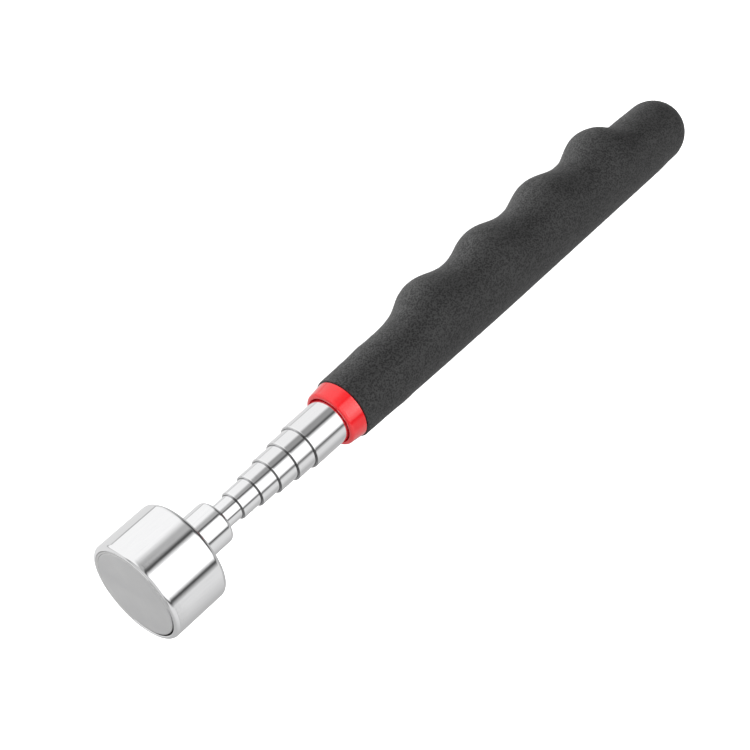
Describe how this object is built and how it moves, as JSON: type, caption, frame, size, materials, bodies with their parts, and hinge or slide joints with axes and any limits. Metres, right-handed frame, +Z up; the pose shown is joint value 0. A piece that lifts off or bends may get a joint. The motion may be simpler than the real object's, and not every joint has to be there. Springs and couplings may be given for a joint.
{
  "type": "telescopic magnetic pick-up tool",
  "caption": "Hand tool with a magnet in a chromed cup on nested telescopic steel tubes, a red collar and a black foam grip with finger bumps.",
  "frame": {"origin": "centre of the magnet's working face, on the tool's axis", "axes": "+X along the tool from the magnet to the end of the grip, the finger bumps face +Y, +Z up with the tool lying flat"},
  "size_m": [0.2133, 0.027, 0.027],
  "materials": {
    "chrome_cup": "bright chrome plate",
    "chrome_neck": "bright chrome plate",
    "chrome_tube": "bright chrome plate",
    "magnet_metal": "satin ground face",
    "spacer_plastic": "matt black",
    "brass_bush": "turned brass",
    "spring_bronze": "rolled phosphor bronze",
    "collar_plastic": "glossy red",
    "grip_foam": "matt moulded foam with a fine skin",
    "plug_plastic": "matt black"
  },
  "bodies": {
    "handle": {"tube_1": "chrome_tube", "collar": "collar_plastic", "grip": "grip_foam", "tail_plug": "plug_plastic"},
    "springs_2": {"friction_spring_2a": "spring_bronze", "friction_spring_2b": "spring_bronze"},
    "section_2": {"tube_2": "chrome_tube", "tail_bush_2": "brass_bush"},
    "springs_3": {"friction_spring_3a": "spring_bronze", "friction_spring_3b": "spring_bronze"},
    "section_3": {"tube_3": "chrome_tube", "tail_bush_3": "brass_bush"},
    "springs_4": {"friction_spring_4a": "spring_bronze", "friction_spring_4b": "spring_bronze"},
    "section_4": {"tube_4": "chrome_tube", "tail_bush_4": "brass_bush"},
    "springs_5": {"friction_spring_5a": "spring_bronze", "friction_spring_5b": "spring_bronze"},
    "section_5": {"tube_5": "chrome_tube", "tail_bush_5": "brass_bush"},
    "springs_6": {"friction_spring_6a": "spring_bronze", "friction_spring_6b": "spring_bronze"},
    "section_6": {"tube_6": "chrome_tube", "tail_bush_6": "brass_bush", "magnet_cup": "chrome_cup", "magnet_disc": "magnet_metal", "spacer_ring": "spacer_plastic", "neck": "chrome_neck"}
  },
  "joints": [
    {"name": "extend_2", "type": "slide", "parent": "handle", "child": "springs_2", "axis": [-1, 0, 0], "range_m": [0, 0.118]},
    {"name": "turn_2", "type": "hinge", "parent": "springs_2", "child": "section_2", "pos_m": [0.1748, 0, 0], "axis": [1, 0, 0], "continuous": true},
    {"name": "extend_3", "type": "slide", "parent": "section_2", "child": "springs_3", "axis": [-1, 0, 0], "range_m": [0, 0.1135]},
    {"name": "turn_3", "type": "hinge", "parent": "springs_3", "child": "section_3", "pos_m": [0.1645, 0, 0], "axis": [1, 0, 0], "continuous": true},
    {"name": "extend_4", "type": "slide", "parent": "section_3", "child": "springs_4", "axis": [-1, 0, 0], "range_m": [0, 0.109]},
    {"name": "turn_4", "type": "hinge", "parent": "springs_4", "child": "section_4", "pos_m": [0.1542, 0, 0], "axis": [1, 0, 0], "continuous": true},
    {"name": "extend_5", "type": "slide", "parent": "section_4", "child": "springs_5", "axis": [-1, 0, 0], "range_m": [0, 0.1045]},
    {"name": "turn_5", "type": "hinge", "parent": "springs_5", "child": "section_5", "pos_m": [0.1439, 0, 0], "axis": [1, 0, 0], "continuous": true},
    {"name": "extend_6", "type": "slide", "parent": "section_5", "child": "springs_6", "axis": [-1, 0, 0], "range_m": [0, 0.1]},
    {"name": "turn_6", "type": "hinge", "parent": "springs_6", "child": "section_6", "pos_m": [0.1336, 0, 0], "axis": [1, 0, 0], "continuous": true}
  ]
}
